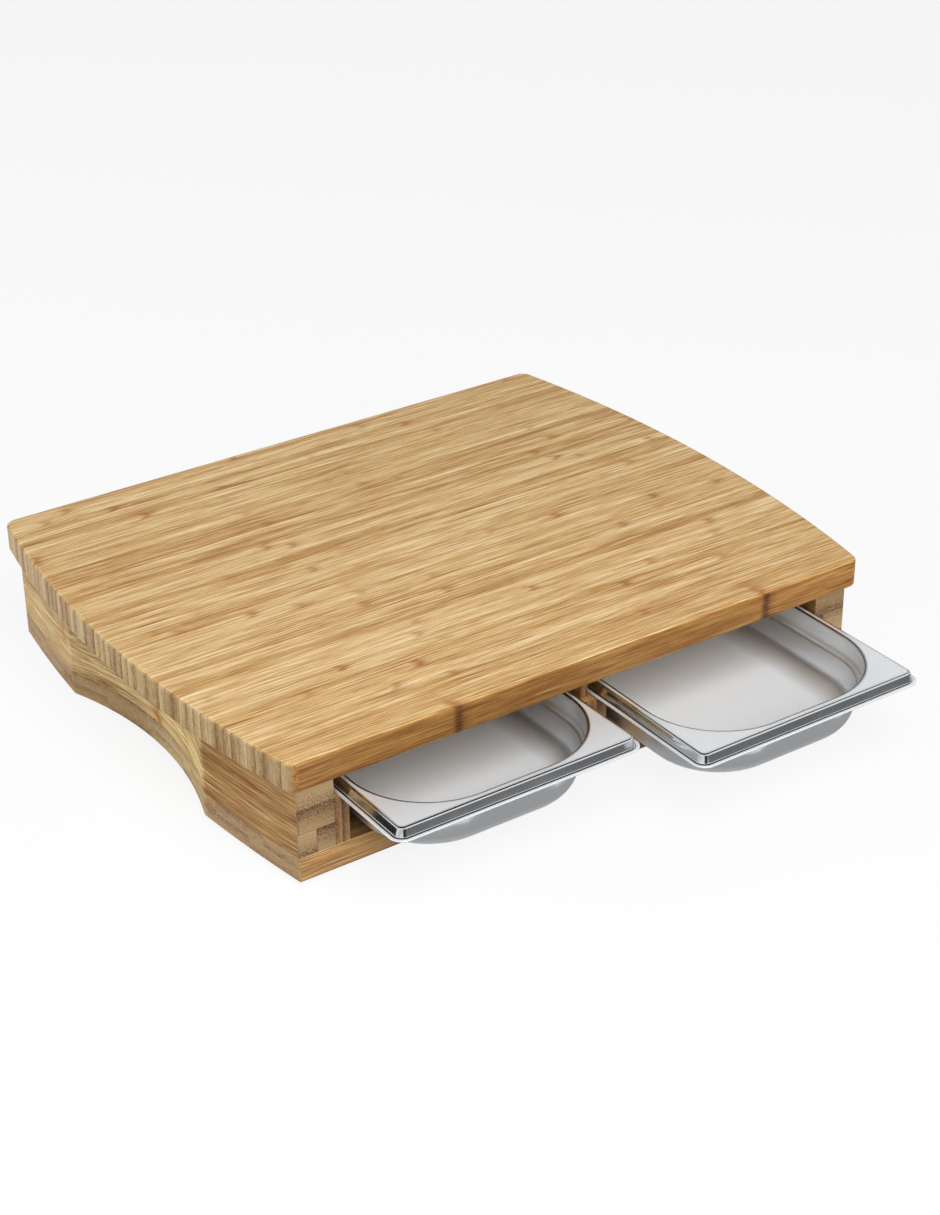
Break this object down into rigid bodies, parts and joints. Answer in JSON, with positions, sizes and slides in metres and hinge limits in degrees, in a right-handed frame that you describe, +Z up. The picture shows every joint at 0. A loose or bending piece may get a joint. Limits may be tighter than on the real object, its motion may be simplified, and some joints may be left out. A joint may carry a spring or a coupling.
{
  "type": "raised cutting board with drawer trays",
  "caption": "Raised bamboo cutting board with bowed ends and side finger scoops, on a low base from which steel food trays slide out at the front.",
  "frame": {"origin": "on the table, under the middle of the cutting board: the centre of the plane of the four feet", "axes": "+Z up, +X to the right seen from the front, +Y to the back; the trays pull out towards -Y"},
  "size_m": [0.468, 0.4725, 0.0875],
  "materials": {
    "bamboo_board": "edge-glued bamboo strips, sanded and oiled, satin",
    "bamboo_base": "laminated bamboo, sanded and oiled, satin, end grain at the fronts",
    "beech_dowel": "plain turned dowel, glued in",
    "tray_steel": "pressed stainless sheet, satin inside, bright rim",
    "zinc_screw": "zinc-plated steel",
    "foot_rubber": "matt black rubber"
  },
  "bodies": {
    "board_and_base": {"top_board": "bamboo_board", "bottom_board": "bamboo_base", "side_panel_left": "bamboo_base", "side_panel_right": "bamboo_base", "runner_left": "bamboo_base", "runner_right": "bamboo_base", "divider_block": "bamboo_base", "divider_fin": "bamboo_base", "back_wall": "bamboo_base", "panel_dowels": "beech_dowel", "back_wall_dowels": "beech_dowel", "base_screws": "zinc_screw", "runner_nails": "zinc_screw", "foot_screws": "zinc_screw", "foot_front_left": "foot_rubber", "foot_front_right": "foot_rubber", "foot_back_left": "foot_rubber", "foot_back_right": "foot_rubber"},
    "tray_left": {"tray_left": "tray_steel"},
    "tray_right": {"tray_right": "tray_steel"}
  },
  "joints": [
    {"name": "tray_left_slide", "type": "slide", "parent": "board_and_base", "child": "tray_left", "axis": [0, -1, 0], "range_m": [-0.0865, 0.2215]},
    {"name": "tray_right_slide", "type": "slide", "parent": "board_and_base", "child": "tray_right", "axis": [0, -1, 0], "range_m": [-0.1255, 0.1825]}
  ]
}
